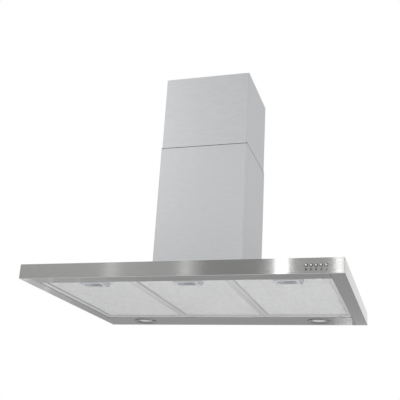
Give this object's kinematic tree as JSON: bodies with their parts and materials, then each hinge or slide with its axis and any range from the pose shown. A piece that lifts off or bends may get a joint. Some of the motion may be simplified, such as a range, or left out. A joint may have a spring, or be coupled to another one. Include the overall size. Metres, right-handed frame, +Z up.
{
  "type": "island range hood",
  "caption": "Ceiling-hung island range hood: slim box canopy with mesh grease filters, recessed lamps and push buttons under a telescopic square chimney with blower and duct outlet.",
  "frame": {"origin": "Centre of the ceiling plate's bolt pattern, on the plate's upper face where it meets the ceiling.", "axes": "+X to the cook's right along the canopy's long side, +Y away from the cook, +Z up."},
  "size_m": [0.9, 0.683, 0.7122],
  "materials": {
    "canopy_steel": "brushed along the width",
    "chimney_steel": "fine satin",
    "zinc_steel": "zinc-plated, matt",
    "screw_steel": "bright zinc",
    "filter_aluminium": "satin",
    "mesh_aluminium": "expanded mesh",
    "handle_plastic": "satin, bluish grey",
    "button_chrome": "polished",
    "bezel_steel": "satin",
    "lamp_glass": "frosted",
    "lamp_can_metal": "matt",
    "black_plastic": "moulded",
    "motor_metal": "satin",
    "wire_sleeve": "soft sleeve"
  },
  "bodies": {
    "ceiling_mount": {"ceiling_plate": "zinc_steel", "upper_frame_rails": "zinc_steel", "upper_chimney_cover": "chimney_steel", "upper_cover_screws": "screw_steel"},
    "impeller": {"impeller": "black_plastic", "motor_shaft": "screw_steel"},
    "damper_front": {"damper_flap_front": "black_plastic"},
    "damper_rear": {"damper_flap_rear": "black_plastic"},
    "button_1": {"button_1": "button_chrome"},
    "button_2": {"button_2": "button_chrome"},
    "button_3": {"button_3": "button_chrome"},
    "button_4": {"button_4": "button_chrome"},
    "button_5": {"button_5": "button_chrome"},
    "filter_1": {"filter_frame_1": "filter_aluminium", "filter_mesh_1": "mesh_aluminium", "filter_handle_1": "handle_plastic", "latch_spring_1": "screw_steel"},
    "latch_1": {"filter_latch_1": "handle_plastic"},
    "filter_2": {"filter_frame_2": "filter_aluminium", "filter_mesh_2": "mesh_aluminium", "filter_handle_2": "handle_plastic", "latch_spring_2": "screw_steel"},
    "latch_2": {"filter_latch_2": "handle_plastic"},
    "filter_3": {"filter_frame_3": "filter_aluminium", "filter_mesh_3": "mesh_aluminium", "filter_handle_3": "handle_plastic", "latch_spring_3": "screw_steel"},
    "latch_3": {"filter_latch_3": "handle_plastic"},
    "hood": {"front_fascia": "canopy_steel", "rear_fascia": "canopy_steel", "left_fascia": "canopy_steel", "right_fascia": "canopy_steel", "top_deck": "canopy_steel", "lamp_panel": "canopy_steel", "lower_chimney_cover": "chimney_steel", "lower_frame_rails": "zinc_steel", "blower_box": "zinc_steel", "motor_bracket": "zinc_steel", "filter_hooks": "zinc_steel", "height_lock_bolts": "screw_steel", "hood_screws": "screw_steel", "damper_pin": "screw_steel", "lamp_bezel_left": "bezel_steel", "lamp_bezel_right": "bezel_steel", "lamp_lens_left": "lamp_glass", "lamp_lens_right": "lamp_glass", "lamp_bulb_left": "lamp_glass", "lamp_bulb_right": "lamp_glass", "lamp_can_left": "lamp_can_metal", "lamp_can_right": "lamp_can_metal", "scroll_left": "black_plastic", "scroll_right": "black_plastic", "outlet_collar": "black_plastic", "terminal_box": "black_plastic", "terminal_box_lid": "black_plastic", "cable_gland": "black_plastic", "switch_block": "black_plastic", "motor": "motor_metal", "capacitor": "motor_metal", "wiring": "wire_sleeve"}
  },
  "joints": [
    {"name": "height_slide", "type": "slide", "parent": "ceiling_mount", "child": "hood", "axis": [0, 0, -1], "range_m": [0, 0.15]},
    {"name": "impeller_spin", "type": "hinge", "parent": "hood", "child": "impeller", "pos_m": [0, -0.009, -0.565], "axis": [1, 0, 0], "continuous": true},
    {"name": "damper_front_swing", "type": "hinge", "parent": "hood", "child": "damper_front", "pos_m": [0, 0.025, -0.39], "axis": [-1, 0, 0], "range_deg": [0, 75]},
    {"name": "damper_rear_swing", "type": "hinge", "parent": "hood", "child": "damper_rear", "pos_m": [0, 0.025, -0.39], "axis": [1, 0, 0], "range_deg": [0, 75]},
    {"name": "button_1_press", "type": "slide", "parent": "hood", "child": "button_1", "axis": [0, 1, 0], "range_m": [0, 0.0025], "stiffness_N_per_m": 400},
    {"name": "button_2_press", "type": "slide", "parent": "hood", "child": "button_2", "axis": [0, 1, 0], "range_m": [0, 0.0025], "stiffness_N_per_m": 400},
    {"name": "button_3_press", "type": "slide", "parent": "hood", "child": "button_3", "axis": [0, 1, 0], "range_m": [0, 0.0025], "stiffness_N_per_m": 400},
    {"name": "button_4_press", "type": "slide", "parent": "hood", "child": "button_4", "axis": [0, 1, 0], "range_m": [0, 0.0025], "stiffness_N_per_m": 400},
    {"name": "button_5_press", "type": "slide", "parent": "hood", "child": "button_5", "axis": [0, 1, 0], "range_m": [0, 0.0025], "stiffness_N_per_m": 400},
    {"name": "filter_1_swing", "type": "hinge", "parent": "hood", "child": "filter_1", "pos_m": [0, 0.209, -0.7066], "axis": [1, 0, 0], "range_deg": [0, 70]},
    {"name": "latch_1_pull", "type": "slide", "parent": "filter_1", "child": "latch_1", "axis": [0, 1, 0], "range_m": [0, 0.006], "stiffness_N_per_m": 300, "deforming": ["latch_spring_1"]},
    {"name": "filter_2_swing", "type": "hinge", "parent": "hood", "child": "filter_2", "pos_m": [0, 0.209, -0.7066], "axis": [1, 0, 0], "range_deg": [0, 70]},
    {"name": "latch_2_pull", "type": "slide", "parent": "filter_2", "child": "latch_2", "axis": [0, 1, 0], "range_m": [0, 0.006], "stiffness_N_per_m": 300, "deforming": ["latch_spring_2"]},
    {"name": "filter_3_swing", "type": "hinge", "parent": "hood", "child": "filter_3", "pos_m": [0, 0.209, -0.7066], "axis": [1, 0, 0], "range_deg": [0, 70]},
    {"name": "latch_3_pull", "type": "slide", "parent": "filter_3", "child": "latch_3", "axis": [0, 1, 0], "range_m": [0, 0.006], "stiffness_N_per_m": 300, "deforming": ["latch_spring_3"]}
  ]
}
